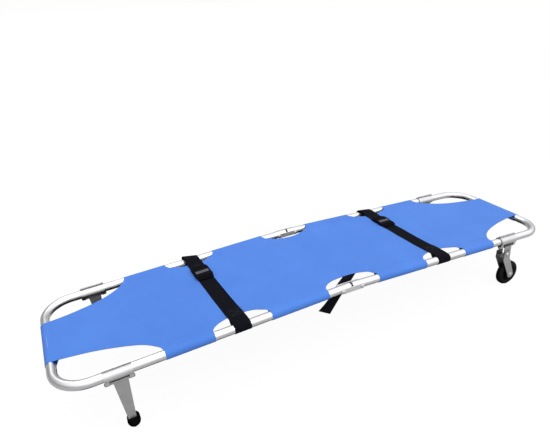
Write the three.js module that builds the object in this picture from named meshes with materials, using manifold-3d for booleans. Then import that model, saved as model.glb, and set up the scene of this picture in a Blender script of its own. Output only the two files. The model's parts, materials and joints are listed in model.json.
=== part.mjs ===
// Folding two-section stretcher: two cambered half frames of round tube that fold together on
// a pair of double-pin hinge links, stands at one end and wheels at the other, a canvas bed and
// two patient straps.
// Millimetres, +Z up, the origin on the floor under the middle hinge. +X runs to the wheels,
// +Y to the patient's left. Each half is drawn in its own frame: the origin is the tube centre
// height at the middle hinge, x follows the rail, and the half then tilts down by the camber.

import * as THREE from 'three';
import { mergeVertices } from 'three/addons/utils/BufferGeometryUtils.js';
import Module from 'manifold-3d';

const wasm = await Module();
wasm.setup();

// Frame
const HINGE_HEIGHT = 230;
const CAMBER = THREE.MathUtils.degToRad(2.09);
const RAIL_Y = 228.5;
const END_BAR_X = 916;
const CORNER_RADIUS = 93;
const CORNER_STEPS = 8;
const TUBE_RADIUS = 14;
const TUBE_WALL = 1.5;
const TUBE_SIDES = 16;
const TUBE_START_X = 3.5;
const FIT_GAP = 0.3;

// Middle hinge
const PIN_X = 36;
const PIN_RADIUS = 4;
const PIN_HEAD_RADIUS = 7;
const PIN_HEAD_HEIGHT = 4.5;
const PIN_HOLE_RADIUS = 4.4;
const LINK_INNER = 14.5;
const LINK_THICKNESS = 3;
const LINK_HALF_HEIGHT = 8.5;
const PLUG_RADIUS = 12;
const PLUG_LENGTH = 50;

// Leg brackets
const STAND_BRACKET_X = 754;
const WHEEL_BRACKET_X = 715;
const BRACKET_LENGTH = 78;
const BRACKET_BORE = 14.5;
const BRACKET_RADIUS = 17.5;
const LUG_LENGTH = 12;
const LUG_RADIUS = 6;
const RIB_HALF_WIDTH = 3;
const RIB_TOP = 22;
const PIVOT_OUT = 6;
const PIVOT_Z = -22.2;
const ROD_RADIUS = 3;
const ROD_HEAD_RADIUS = 5.5;
const KNUCKLE_RADIUS = 5;
const ROUND_SIDES = 24;
const SMALL_SIDES = 12;

// Stands: channels that open towards the middle, with a rubber foot
const CHANNEL_HALF = 10;
const SHEET_METAL = 2.5;
const STAND_TOP = { inner: 731, outer: 773 };
const STAND_FOOT = { inner: 738.5, outer: 759.5 };
const FLANGE_TOP_Z = -52;
const FOOT_X = 747;
const FOOT_RADIUS = 19;
const FOOT_SOCKET_DEPTH = 18;

// Wheel legs: a hinged plate, a fork bolted to it, and a wheel
const WHEEL_RADIUS = 50;
const TYRE_HALF_WIDTH = 12;
const TYRE_BORE = 31;
const HUB_BORE = 7;
const AXLE_X = 754;
const AXLE_RADIUS = 4;
const AXLE_HEAD_RADIUS = 8;
const AXLE_END = 21.5;
const FORK_HALF = 19;
const FORK_BOLT = { x: 714, z: -54 };
const FORK_TOP_RADIUS = 16;
const FORK_KNEE = { x: 729, z: -103, half: 17 };
const FORK_TIP_RADIUS = 15;
const CROWN_TOP_Z = -66;
const INNER_ARM_TOP_Z = -49;

// Canvas, straps and buckles
const CANVAS_BOTTOM = 14.4;
const CANVAS_TOP = 16;
const CANVAS_MIDDLE_GAP = 1;
const CANVAS_END_X = 930;
const TONGUE_HALF_WIDTH = 100;
const FULL_WIDTH_END_X = 633;
const TONGUE_CURVE = { start: { x: 640, y: 165 }, finish: { x: 755, y: 115 } };
const MIDDLE_NOTCH = { halfWidth: 98, depth: 54 };
const STRAP_NOTCH = { x: 393, halfWidth: 92, depth: 47 };
const STRAP_X = 391;
const STRAP_WIDTH = 54;
const STRAP_BOTTOM = 16.3;
const STRAP_TOP = 18.3;
const STRAP_LOOP_RADIUS = 17;
const BUCKLE = { width: 62, near: 60, split: 112, far: 148, height: 13, wall: 2.5 };
const TAIL = { y: -200, thickness: 2, top: [-12, 42], drop: 110, shift: -88, slant: 22 };

const materials = {
  aluminium: new THREE.MeshStandardMaterial({ color: 0xd9dadc, roughness: 0.28, metalness: 0.9 }),
  steel: new THREE.MeshStandardMaterial({ color: 0xa9abad, roughness: 0.35, metalness: 0.9 }),
  greyPaint: new THREE.MeshStandardMaterial({ color: 0x8a8886, roughness: 0.5, metalness: 0.3 }),
  rubber: new THREE.MeshStandardMaterial({ color: 0x1c1e20, roughness: 0.85, metalness: 0 }),
  blackPlastic: new THREE.MeshStandardMaterial({ color: 0x202224, roughness: 0.45, metalness: 0 }),
  webbing: new THREE.MeshStandardMaterial({ color: 0x17181a, roughness: 0.9, metalness: 0 }),
  canvas: new THREE.MeshStandardMaterial({ color: 0x5f91ea, roughness: 0.85, metalness: 0 }),
};

// --- solids -------------------------------------------------------------------------------

// Closed three.js geometry to a solid that can be joined and cut.
function solid(geometry) {
  const bare = geometry.clone();
  bare.deleteAttribute('normal');
  bare.deleteAttribute('uv');
  const merged = mergeVertices(bare, 1e-4);
  const vertProperties = new Float32Array(merged.attributes.position.array);
  const triVerts = new Uint32Array(merged.index.array);
  return new wasm.Manifold(new wasm.Mesh({ numProp: 3, vertProperties, triVerts }));
}

function geometryOf(manifold) {
  const mesh = manifold.getMesh();
  const geometry = new THREE.BufferGeometry();
  geometry.setAttribute('position', new THREE.BufferAttribute(mesh.vertProperties, 3));
  geometry.setIndex(new THREE.BufferAttribute(mesh.triVerts, 1));
  geometry.computeVertexNormals();
  return geometry;
}

// Box between two corners, each [x, y, z].
function block(low, high) {
  const size = high.map((value, axis) => value - low[axis]);
  const box = new THREE.BoxGeometry(...size);
  box.translate(...low.map((value, axis) => value + size[axis] / 2));
  return solid(box);
}

// Outline in x and z, between two y values in either order.
function plateAcross(shape, yA, yB) {
  const options = { depth: Math.abs(yB - yA), bevelEnabled: false, curveSegments: 6 };
  const plate = new THREE.ExtrudeGeometry(shape, options);
  plate.rotateX(Math.PI / 2);
  plate.translate(0, Math.max(yA, yB), 0);
  return solid(plate);
}

// Outline in y and z, between two x values.
function plateAlong(shape, xLow, xHigh) {
  const options = { depth: xHigh - xLow, bevelEnabled: false, curveSegments: 6 };
  const plate = new THREE.ExtrudeGeometry(shape, options);
  plate.rotateZ(Math.PI / 2);
  plate.rotateY(Math.PI / 2);
  plate.translate(xLow, 0, 0);
  return solid(plate);
}

// Outline in x and y, between two z values.
function plateFlat(shape, zLow, zHigh) {
  const options = { depth: zHigh - zLow, bevelEnabled: false, curveSegments: 10 };
  const plate = new THREE.ExtrudeGeometry(shape, options);
  plate.translate(0, 0, zLow);
  return solid(plate);
}

// Turned piece about the y direction, from [radius, y] pairs listed from low y to high y.
function turnedAcross(profile, x, z, sides, y = 0) {
  const points = profile.map(([radius, along]) => new THREE.Vector2(radius, along));
  const lathe = new THREE.LatheGeometry(points, sides);
  lathe.translate(x, y, z);
  return solid(lathe);
}

// The same about the x direction.
function turnedAlong(profile, y, z, sides, x = 0) {
  const points = profile.map(([radius, along]) => new THREE.Vector2(radius, along));
  const lathe = new THREE.LatheGeometry(points, sides);
  lathe.rotateZ(-Math.PI / 2);
  lathe.translate(x, y, z);
  return solid(lathe);
}

const rodProfile = (radius, low, high) => [[0, low], [radius, low], [radius, high], [0, high]];

const ringProfile = (inner, outer, low, high) => [
  [inner, low], [outer, low], [outer, high], [inner, high], [inner, low],
];

// Pin with a domed head on each end; grip is half of the length between the heads.
function headedProfile(radius, headRadius, grip, headHeight) {
  return [
    [0, -grip - headHeight],
    [headRadius * 0.75, -grip - headHeight * 0.7],
    [headRadius, -grip],
    [radius, -grip],
    [radius, grip],
    [headRadius, grip],
    [headRadius * 0.75, grip + headHeight * 0.7],
    [0, grip + headHeight],
  ];
}

function polygon(points) {
  return new THREE.Shape(points.map(([x, y]) => new THREE.Vector2(x, y)));
}

// A path known only at its stations: one step on a straight, several round a corner.
class StationPath extends THREE.Curve {
  constructor(stations) {
    super();
    this.stations = stations;
  }

  station(t) {
    return this.stations[Math.round(t * (this.stations.length - 1))];
  }

  getPointAt(t) {
    return this.station(t).point.clone();
  }

  getTangentAt(t) {
    return this.station(t).tangent.clone();
  }
}

// --- half frames --------------------------------------------------------------------------

const root = new THREE.Group();
root.name = 'folding_stretcher';

// End is +1 for the wheel half and -1 for the stand half; row is +1 for the left rail and -1
// for the right one.
const ENDS = [{ name: 'stand', end: -1 }, { name: 'wheel', end: 1 }];
const ROWS = [{ name: 'right', row: -1 }, { name: 'left', row: 1 }];

function addMesh(parent, name, manifold, material) {
  const mesh = new THREE.Mesh(geometryOf(manifold), materials[material].clone());
  mesh.name = name;
  parent.add(mesh);
  return mesh;
}

// Group on a rail, whose own y = 0 is the rail's centre line.
function railGroup(half, row) {
  const group = new THREE.Group();
  group.position.y = row * RAIL_Y;
  half.add(group);
  return group;
}

function frameTube(end) {
  const stations = [];
  const addStation = (x, y, tangentX, tangentY) => stations.push({
    point: new THREE.Vector3(end * x, y, 0),
    tangent: new THREE.Vector3(end * tangentX, tangentY, 0),
  });
  addStation(TUBE_START_X, -RAIL_Y, 1, 0);
  for (const [row, startAngle] of [[-1, -Math.PI / 2], [1, 0]]) {
    const centreX = END_BAR_X - CORNER_RADIUS;
    const centreY = row * (RAIL_Y - CORNER_RADIUS);
    for (let step = 0; step <= CORNER_STEPS; step += 1) {
      const angle = startAngle + (step / CORNER_STEPS) * (Math.PI / 2);
      const x = centreX + CORNER_RADIUS * Math.cos(angle);
      const y = centreY + CORNER_RADIUS * Math.sin(angle);
      addStation(x, y, -Math.sin(angle), Math.cos(angle));
    }
  }
  addStation(TUBE_START_X, RAIL_Y, -1, 0);

  const section = new THREE.Shape();
  const bore = new THREE.Path();
  section.absarc(0, 0, TUBE_RADIUS, 0, Math.PI * 2);
  bore.absarc(0, 0, TUBE_RADIUS - TUBE_WALL, 0, Math.PI * 2, true);
  section.holes.push(bore);
  const sweep = {
    steps: stations.length - 1,
    curveSegments: TUBE_SIDES / 2,
    extrudePath: new StationPath(stations),
  };
  const pinHole = rodProfile(PIN_HOLE_RADIUS, -RAIL_Y - 20, RAIL_Y + 20);
  return solid(new THREE.ExtrudeGeometry(section, sweep))
    .subtract(turnedAcross(pinHole, end * PIN_X, 0, SMALL_SIDES));
}

function hingePlug(end) {
  const low = end > 0 ? TUBE_START_X + 0.5 : -TUBE_START_X - 0.5 - PLUG_LENGTH;
  const plug = turnedAlong(rodProfile(PLUG_RADIUS, low, low + PLUG_LENGTH), 0, 0, TUBE_SIDES);
  const hole = rodProfile(PIN_HOLE_RADIUS, -TUBE_RADIUS, TUBE_RADIUS);
  return plug.subtract(turnedAcross(hole, end * PIN_X, 0, SMALL_SIDES));
}

// Sleeve on the rail with a rib on top and a lug at each end; the lugs hold the leg's rod.
function legBracket(x, row) {
  const half = BRACKET_LENGTH / 2;
  const pivotY = row * PIVOT_OUT;
  const lug = new THREE.Shape();
  lug.moveTo(-row * 10, -10);
  lug.lineTo(row * 15, -6);
  lug.lineTo(pivotY + row * LUG_RADIUS, PIVOT_Z);
  const turn = row > 0 ? [0, -Math.PI, true] : [Math.PI, 0, false];
  lug.absarc(pivotY, PIVOT_Z, LUG_RADIUS, ...turn);
  lug.closePath();
  const sleeve = turnedAlong(rodProfile(BRACKET_RADIUS, x - half, x + half), 0, 0, ROUND_SIDES);
  const bore = turnedAlong(rodProfile(BRACKET_BORE, x - half - 1, x + half + 1), 0, 0, ROUND_SIDES);
  const hole = rodProfile(ROD_RADIUS + FIT_GAP, x - half - 1, x + half + 1);
  const rib = block([x - half, -RIB_HALF_WIDTH, 0], [x + half, RIB_HALF_WIDTH, RIB_TOP]);
  return sleeve
    .add(rib)
    .add(plateAlong(lug, x - half, x - half + LUG_LENGTH))
    .add(plateAlong(lug, x + half - LUG_LENGTH, x + half))
    .subtract(bore)
    .subtract(turnedAlong(hole, pivotY, PIVOT_Z, SMALL_SIDES));
}

function pivotRod(x, row) {
  const grip = BRACKET_LENGTH / 2 + FIT_GAP;
  const profile = headedProfile(ROD_RADIUS, ROD_HEAD_RADIUS, grip, 3);
  return turnedAlong(profile, row * PIVOT_OUT, PIVOT_Z, SMALL_SIDES, x);
}

// Round knuckle that turns on the bracket's rod, without its bore.
function knuckle(x, row) {
  const half = BRACKET_LENGTH / 2 - LUG_LENGTH - FIT_GAP;
  const profile = rodProfile(KNUCKLE_RADIUS, x - half, x + half);
  return turnedAlong(profile, row * PIVOT_OUT, PIVOT_Z, ROUND_SIDES);
}

function knuckleBore(x, row) {
  const profile = rodProfile(ROD_RADIUS + FIT_GAP, x - BRACKET_LENGTH, x + BRACKET_LENGTH);
  return turnedAlong(profile, row * PIVOT_OUT, PIVOT_Z, SMALL_SIDES);
}

// --- stands -------------------------------------------------------------------------------

const footZ = (FOOT_RADIUS - HINGE_HEIGHT + FOOT_X * Math.sin(CAMBER)) / Math.cos(CAMBER);

function standOutline(end, inset, topZ, bottomZ) {
  return polygon([
    [end * (STAND_TOP.inner + inset), topZ],
    [end * (STAND_TOP.outer - inset), topZ],
    [end * (STAND_FOOT.outer - inset), bottomZ],
    [end * (STAND_FOOT.inner + inset), bottomZ],
  ]);
}

function standLeg(end, row) {
  const topZ = PIVOT_Z + KNUCKLE_RADIUS - 1;
  const bottomZ = footZ + 4;
  const outside = plateAcross(standOutline(end, 0, topZ, bottomZ), -CHANNEL_HALF, CHANNEL_HALF);
  const webY = row * (CHANNEL_HALF - SHEET_METAL);
  const inside = standOutline(end, SHEET_METAL, topZ + 1, bottomZ - 1);
  const relief = block(
    [Math.min(end * 720, end * 790), Math.min(webY, -row * 30), FLANGE_TOP_Z],
    [Math.max(end * 720, end * 790), Math.max(webY, -row * 30), 0],
  );
  return outside
    .subtract(plateAcross(inside, webY, -row * (CHANNEL_HALF + 1)))
    .subtract(relief)
    .add(knuckle(end * STAND_BRACKET_X, row))
    .subtract(knuckleBore(end * STAND_BRACKET_X, row));
}

// Ball-ended rubber foot, upright on the floor, with a socket for the channel's end.
function rubberFoot(end) {
  const points = [new THREE.Vector2(0, -FOOT_RADIUS)];
  const lowAngle = -1.12;
  const steps = 5;
  for (let step = 0; step <= steps; step += 1) {
    const angle = lowAngle * (1 - step / steps);
    const z = step === 0 ? -FOOT_RADIUS : FOOT_RADIUS * Math.sin(angle);
    points.push(new THREE.Vector2(FOOT_RADIUS * Math.cos(angle), z));
  }
  points.push(new THREE.Vector2(FOOT_RADIUS - 0.4, FOOT_RADIUS / 2));
  points.push(new THREE.Vector2(FOOT_RADIUS - 1.4, FOOT_SOCKET_DEPTH));
  points.push(new THREE.Vector2(0, FOOT_SOCKET_DEPTH));
  const ball = new THREE.LatheGeometry(points, 20);
  ball.rotateX(Math.PI / 2);
  ball.rotateY(-end * CAMBER);
  ball.translate(end * FOOT_X, 0, footZ);
  const socket = standOutline(end, -0.4, footZ + FOOT_SOCKET_DEPTH + 5, footZ + 3.5);
  const depth = CHANNEL_HALF + 0.4;
  return solid(ball).subtract(plateAcross(socket, -depth, depth));
}

// --- wheels -------------------------------------------------------------------------------

const axleZ = (WHEEL_RADIUS - HINGE_HEIGHT + AXLE_X * Math.sin(CAMBER)) / Math.cos(CAMBER);

function wheelLeg(end, row) {
  const outer = row * (FORK_HALF - SHEET_METAL - FIT_GAP);
  const inner = outer - row * SHEET_METAL;
  const halfWidth = 17;
  const x = end * FORK_BOLT.x;
  const web = new THREE.Shape();
  web.moveTo(x - halfWidth, PIVOT_Z + 3);
  web.lineTo(x - halfWidth, CROWN_TOP_Z + 4);
  web.lineTo(x - halfWidth + 3, CROWN_TOP_Z + 1);
  web.lineTo(x + halfWidth - 3, CROWN_TOP_Z + 1);
  web.lineTo(x + halfWidth, CROWN_TOP_Z + 4);
  web.lineTo(x + halfWidth, PIVOT_Z + 3);
  web.closePath();
  const step = block(
    [x - halfWidth, Math.min(row * PIVOT_OUT, outer), PIVOT_Z - 4],
    [x + halfWidth, Math.max(row * PIVOT_OUT, outer), PIVOT_Z + 3],
  );
  const bolt = turnedAcross(rodProfile(4.3, -40, 40), x, FORK_BOLT.z, SMALL_SIDES);
  return plateAcross(web, inner, outer)
    .add(step)
    .add(knuckle(end * WHEEL_BRACKET_X, row))
    .subtract(knuckleBore(end * WHEEL_BRACKET_X, row))
    .subtract(bolt);
}

// One fork arm: round or square at the top, and round at the axle.
function forkArm(end, roundTop) {
  const arm = new THREE.Shape();
  const top = FORK_BOLT;
  const left = [top.x - FORK_TOP_RADIUS, FORK_KNEE.x - FORK_KNEE.half, AXLE_X - FORK_TIP_RADIUS];
  const right = [top.x + FORK_TOP_RADIUS, FORK_KNEE.x + FORK_KNEE.half, AXLE_X + FORK_TIP_RADIUS];
  const topZ = roundTop ? top.z : INNER_ARM_TOP_Z;
  arm.moveTo(end * left[0], topZ);
  arm.lineTo(end * left[0], CROWN_TOP_Z - 12);
  arm.lineTo(end * left[1], FORK_KNEE.z);
  arm.lineTo(end * left[2], axleZ);
  arm.absarc(end * AXLE_X, axleZ, FORK_TIP_RADIUS, Math.PI, Math.PI * 2, false);
  arm.lineTo(end * right[1], FORK_KNEE.z);
  arm.lineTo(end * right[0], CROWN_TOP_Z - 4);
  arm.lineTo(end * right[0], topZ);
  if (roundTop) {
    arm.absarc(end * top.x, top.z, FORK_TOP_RADIUS, 0, Math.PI, false);
  }
  arm.closePath();
  return arm;
}

function fork(end, row) {
  const outer = row * FORK_HALF;
  const inner = row * (FORK_HALF - SHEET_METAL);
  const crownX = end * FORK_BOLT.x;
  const crown = block(
    [crownX - FORK_TOP_RADIUS, -FORK_HALF, CROWN_TOP_Z - SHEET_METAL],
    [crownX + FORK_TOP_RADIUS, FORK_HALF, CROWN_TOP_Z],
  );
  const boltHole = rodProfile(4.3, Math.min(0, row * 40), Math.max(0, row * 40));
  const bolt = turnedAcross(boltHole, crownX, FORK_BOLT.z, SMALL_SIDES);
  const axleHole = rodProfile(AXLE_RADIUS + FIT_GAP, -40, 40);
  return plateAcross(forkArm(end, true), inner, outer)
    .add(plateAcross(forkArm(end, false), -inner, -outer))
    .add(crown)
    .subtract(bolt)
    .subtract(turnedAcross(axleHole, end * AXLE_X, axleZ, SMALL_SIDES));
}

// Bolt that clamps the fork's outer arm to the leg plate.
function forkBolt(end, row) {
  const low = FORK_HALF - 2 * SHEET_METAL - 2 * FIT_GAP;
  const profile = [
    [0, low - 3.4], [6.5, low - 3.4], [6.5, low], [PIN_RADIUS, low],
    [PIN_RADIUS, FORK_HALF + FIT_GAP], [7, FORK_HALF + FIT_GAP], [5, AXLE_END], [0, AXLE_END],
  ];
  const signed = row > 0 ? profile : profile.map(([radius, y]) => [radius, -y]).reverse();
  return turnedAcross(signed, end * FORK_BOLT.x, FORK_BOLT.z, SMALL_SIDES);
}

function axle(end) {
  const grip = FORK_HALF + FIT_GAP;
  const profile = headedProfile(AXLE_RADIUS, AXLE_HEAD_RADIUS, grip, AXLE_END - grip);
  return turnedAcross(profile, end * AXLE_X, axleZ, SMALL_SIDES);
}

function tyre(end) {
  const half = TYRE_HALF_WIDTH;
  const profile = [
    [TYRE_BORE, -half + 1.5], [WHEEL_RADIUS - 7, -half], [WHEEL_RADIUS - 2.2, -half + 3.5],
    [WHEEL_RADIUS, -half + 8.5], [WHEEL_RADIUS, half - 8.5], [WHEEL_RADIUS - 2.2, half - 3.5],
    [WHEEL_RADIUS - 7, half], [TYRE_BORE, half - 1.5], [TYRE_BORE, -half + 1.5],
  ];
  return turnedAcross(profile, end * AXLE_X, axleZ, 32);
}

// Disc hub with a rim, a web and a boss.
function hub(end) {
  const rim = TYRE_BORE - 0.5;
  const profile = [
    [HUB_BORE, -14], [11, -14], [12, -5], [rim - 5, -5], [rim - 4, -10.5], [rim, -10.5],
    [rim, 10.5], [rim - 4, 10.5], [rim - 5, 5], [12, 5], [11, 14], [HUB_BORE, 14],
    [HUB_BORE, -14],
  ];
  return turnedAcross(profile, end * AXLE_X, axleZ, ROUND_SIDES);
}

function wheelBush(end) {
  const profile = ringProfile(AXLE_RADIUS + FIT_GAP, HUB_BORE - FIT_GAP, -15.5, 15.5);
  return turnedAcross(profile, end * AXLE_X, axleZ, SMALL_SIDES);
}

// --- hinge links --------------------------------------------------------------------------

// Pill-shaped plate beside the tubes, on the side that face gives; both halves hang on it.
function linkPlate(face) {
  const pill = new THREE.Shape();
  pill.moveTo(-PIN_X, -LINK_HALF_HEIGHT);
  pill.lineTo(PIN_X, -LINK_HALF_HEIGHT);
  pill.absarc(PIN_X, 0, LINK_HALF_HEIGHT, -Math.PI / 2, Math.PI / 2, false);
  pill.lineTo(-PIN_X, LINK_HALF_HEIGHT);
  pill.absarc(-PIN_X, 0, LINK_HALF_HEIGHT, Math.PI / 2, Math.PI * 1.5, false);
  let plate = plateAcross(pill, face * LINK_INNER, face * (LINK_INNER + LINK_THICKNESS));
  for (const { end } of ENDS) {
    const hole = rodProfile(PIN_RADIUS + FIT_GAP, -40, 40);
    plate = plate.subtract(turnedAcross(hole, end * PIN_X, 0, SMALL_SIDES));
  }
  return plate;
}

function hingePin(end) {
  const grip = LINK_INNER + LINK_THICKNESS + FIT_GAP;
  const profile = headedProfile(PIN_RADIUS, PIN_HEAD_RADIUS, grip, PIN_HEAD_HEIGHT);
  return turnedAcross(profile, end * PIN_X, 0, SMALL_SIDES);
}

// --- canvas and straps --------------------------------------------------------------------

// Half of the bed: full width over the rails, a notch at each hinge and strap, and a tongue
// that narrows to pass over the end bar.
function canvasPanel(end) {
  const edge = RAIL_Y;
  const { start, finish } = TONGUE_CURVE;
  const sheet = new THREE.Shape();
  sheet.moveTo(end * CANVAS_MIDDLE_GAP, -edge);
  sheet.lineTo(end * FULL_WIDTH_END_X, -edge);
  sheet.bezierCurveTo(
    end * start.x, -start.y, end * finish.x, -finish.y, end * CANVAS_END_X, -TONGUE_HALF_WIDTH,
  );
  sheet.lineTo(end * CANVAS_END_X, TONGUE_HALF_WIDTH);
  sheet.bezierCurveTo(
    end * finish.x, finish.y, end * start.x, start.y, end * FULL_WIDTH_END_X, edge,
  );
  sheet.lineTo(end * CANVAS_MIDDLE_GAP, edge);
  sheet.closePath();
  let panel = plateFlat(sheet, CANVAS_BOTTOM, CANVAS_TOP);
  const notches = [{ x: 0, ...MIDDLE_NOTCH }, STRAP_NOTCH];
  for (const { row } of ROWS) {
    for (const notch of notches) {
      const outline = new THREE.Shape();
      outline.absellipse(
        end * notch.x, row * edge, notch.halfWidth, notch.depth, 0, Math.PI * 2, false, 0,
      );
      panel = panel.subtract(plateFlat(outline, CANVAS_BOTTOM - 5, CANVAS_TOP + 5));
    }
  }
  return panel;
}

// Loop of webbing round a rail with a run over the canvas towards the buckle.
function strapRun(end, row, reach) {
  const x = end * STRAP_X;
  const half = STRAP_WIDTH / 2;
  const loop = ringProfile(BRACKET_BORE, STRAP_LOOP_RADIUS, x - half, x + half);
  const low = Math.min(reach, row * RAIL_Y);
  const high = Math.max(reach, row * RAIL_Y);
  return turnedAlong(loop, row * RAIL_Y, 0, ROUND_SIDES)
    .add(block([x - half, low, STRAP_BOTTOM], [x + half, high, STRAP_TOP]));
}

const buckleBottom = CANVAS_TOP + FIT_GAP;

// Hollow half of the side-release buckle, open at the sides and at the tongue's end.
function buckleSocket(end) {
  const x = end * STRAP_X;
  const half = BUCKLE.width / 2;
  const top = buckleBottom + BUCKLE.height;
  const wall = BUCKLE.wall;
  const body = block([x - half, BUCKLE.near, buckleBottom], [x + half, BUCKLE.split, top]);
  const cavity = block(
    [x - half + wall, BUCKLE.near + 16, buckleBottom + wall],
    [x + half - wall, BUCKLE.split + 1, top - wall],
  );
  const sideWindow = block(
    [x - half - 1, BUCKLE.near + 22, buckleBottom + wall],
    [x + half + 1, BUCKLE.split - 12, top - wall],
  );
  return body.subtract(cavity).subtract(sideWindow);
}

// Solid half: a base bar with a middle prong and two sprung side prongs.
function buckleTongue(end) {
  const x = end * STRAP_X;
  const half = BUCKLE.width / 2;
  const top = buckleBottom + BUCKLE.height;
  const lowZ = buckleBottom + BUCKLE.wall + FIT_GAP;
  const highZ = top - BUCKLE.wall - FIT_GAP;
  const tip = BUCKLE.near + 24;
  const base = BUCKLE.split + FIT_GAP;
  let tongue = block([x - half, base, buckleBottom], [x + half, BUCKLE.far, top])
    .add(block([x - 5, tip, lowZ], [x + 5, base + 1, highZ]));
  for (const side of [-1, 1]) {
    const outer = x + side * (half - BUCKLE.wall - FIT_GAP - 0.4);
    const inner = outer - side * 7;
    tongue = tongue.add(block(
      [Math.min(inner, outer), tip, lowZ],
      [Math.max(inner, outer), base + 1, highZ],
    ));
  }
  return tongue;
}

// Flat tail of webbing that hangs under the canvas beside the right rail's hinge.
function storageStrap() {
  const [left, right] = TAIL.top;
  const top = CANVAS_BOTTOM - 0.8;
  const outline = polygon([
    [left, top],
    [right, top],
    [right + TAIL.shift, top - TAIL.drop + TAIL.slant],
    [left + TAIL.shift, top - TAIL.drop],
  ]);
  return plateAcross(outline, TAIL.y, TAIL.y + TAIL.thickness);
}

// --- assembly -----------------------------------------------------------------------------

for (const { name, end } of ENDS) {
  const half = new THREE.Group();
  half.position.z = HINGE_HEIGHT;
  half.rotation.y = end * CAMBER;
  root.add(half);
  const bracketX = end > 0 ? WHEEL_BRACKET_X : STAND_BRACKET_X;

  addMesh(half, `${name}_frame_tube`, frameTube(end), 'aluminium');
  addMesh(half, `${name}_canvas`, canvasPanel(end), 'canvas');
  addMesh(half, `${name}_buckle_socket`, buckleSocket(end), 'blackPlastic');
  addMesh(half, `${name}_buckle_tongue`, buckleTongue(end), 'blackPlastic');

  for (const { name: side, row } of ROWS) {
    const rail = railGroup(half, row);
    const reach = row > 0 ? BUCKLE.far + FIT_GAP : BUCKLE.near - FIT_GAP;
    addMesh(half, `${name}_strap_${side}`, strapRun(end, row, reach), 'webbing');
    addMesh(rail, `${name}_hinge_plug_${side}`, hingePlug(end), 'aluminium');
    addMesh(rail, `${name}_leg_bracket_${side}`, legBracket(end * bracketX, row), 'aluminium');
    addMesh(rail, `${name}_leg_rod_${side}`, pivotRod(end * bracketX, row), 'steel');
    if (end < 0) {
      addMesh(rail, `stand_leg_${side}`, standLeg(end, row), 'greyPaint');
      addMesh(rail, `rubber_foot_${side}`, rubberFoot(end), 'rubber');
    } else {
      addMesh(rail, `wheel_leg_${side}`, wheelLeg(end, row), 'greyPaint');
      addMesh(rail, `wheel_fork_${side}`, fork(end, row), 'greyPaint');
      addMesh(rail, `fork_bolt_${side}`, forkBolt(end, row), 'steel');
      addMesh(rail, `axle_${side}`, axle(end), 'steel');
      addMesh(rail, `tyre_${side}`, tyre(end), 'rubber');
      addMesh(rail, `wheel_hub_${side}`, hub(end), 'blackPlastic');
      addMesh(rail, `wheel_bush_${side}`, wheelBush(end), 'steel');
    }
  }
}

const hinge = new THREE.Group();
hinge.position.z = HINGE_HEIGHT - PIN_X * Math.sin(CAMBER);
root.add(hinge);
for (const { name: side, row } of ROWS) {
  const rail = railGroup(hinge, row);
  addMesh(rail, `hinge_link_outer_${side}`, linkPlate(row), 'aluminium');
  addMesh(rail, `hinge_link_inner_${side}`, linkPlate(-row), 'aluminium');
  for (const { name, end } of ENDS) {
    addMesh(rail, `${name}_hinge_pin_${side}`, hingePin(end), 'steel');
  }
}
const tail = addMesh(root, 'storage_strap', storageStrap(), 'webbing');
tail.position.z = HINGE_HEIGHT;

export default root;
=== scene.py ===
"""Folding stretcher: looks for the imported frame, with cloth, webbing, buckles, tubes and rubber."""
import json
import math

import bmesh
import bpy
from mathutils import Matrix, Vector, noise


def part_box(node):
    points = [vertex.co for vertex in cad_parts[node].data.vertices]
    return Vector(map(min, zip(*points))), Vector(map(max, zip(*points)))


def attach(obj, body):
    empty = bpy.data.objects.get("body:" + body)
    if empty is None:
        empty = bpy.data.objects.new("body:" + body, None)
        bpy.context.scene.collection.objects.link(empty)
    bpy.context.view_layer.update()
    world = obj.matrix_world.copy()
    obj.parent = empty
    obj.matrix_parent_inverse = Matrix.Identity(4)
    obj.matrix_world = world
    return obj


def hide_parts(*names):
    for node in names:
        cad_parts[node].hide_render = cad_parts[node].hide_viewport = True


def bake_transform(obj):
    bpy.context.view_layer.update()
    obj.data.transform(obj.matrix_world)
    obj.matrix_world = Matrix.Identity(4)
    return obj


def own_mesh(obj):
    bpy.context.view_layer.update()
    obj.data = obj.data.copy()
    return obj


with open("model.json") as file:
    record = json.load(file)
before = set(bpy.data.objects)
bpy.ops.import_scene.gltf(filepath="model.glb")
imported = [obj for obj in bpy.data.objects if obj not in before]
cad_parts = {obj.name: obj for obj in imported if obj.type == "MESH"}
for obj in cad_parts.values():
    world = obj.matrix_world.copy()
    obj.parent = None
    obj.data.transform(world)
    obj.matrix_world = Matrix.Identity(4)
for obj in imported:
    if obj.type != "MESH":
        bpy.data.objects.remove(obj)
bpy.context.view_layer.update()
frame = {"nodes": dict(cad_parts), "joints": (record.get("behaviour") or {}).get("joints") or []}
NODES = frame["nodes"]
JOINTS = {joint["name"]: joint for joint in frame["joints"]}

# Each half has its own frame: x runs outward from the middle hinge along the rail, y across and
# z up from the tube centre. end is +1 for the wheel half and -1 for the stand half; row is +1
# for the left rail and -1 for the right one. Sizes are metres.
ENDS = {"stand": -1, "wheel": 1}
ROWS = {"right": -1, "left": 1}

PIN = Vector(JOINTS["wheel_half_fold"]["pos_m"])
LEG_AXIS = Vector(JOINTS["wheel_leg_fold_right"]["axis"])
CAMBER = math.atan2(-LEG_AXIS.z, LEG_AXIS.x)
HINGE_Z = PIN.z + PIN.x * math.tan(CAMBER)
PLUG_LOW, PLUG_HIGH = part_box("wheel_hinge_plug_left")
RAIL_Y = (PLUG_LOW[1] + PLUG_HIGH[1]) / 2

# Frame tube
TUBE_RADIUS = 0.014
TUBE_BORE = 0.0125
TUBE_START = 0.0035
END_BAR_X = 0.916
CORNER_RADIUS = 0.093
PIN_X = 0.036
PIN_HOLE_RADIUS = 0.0043

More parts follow.
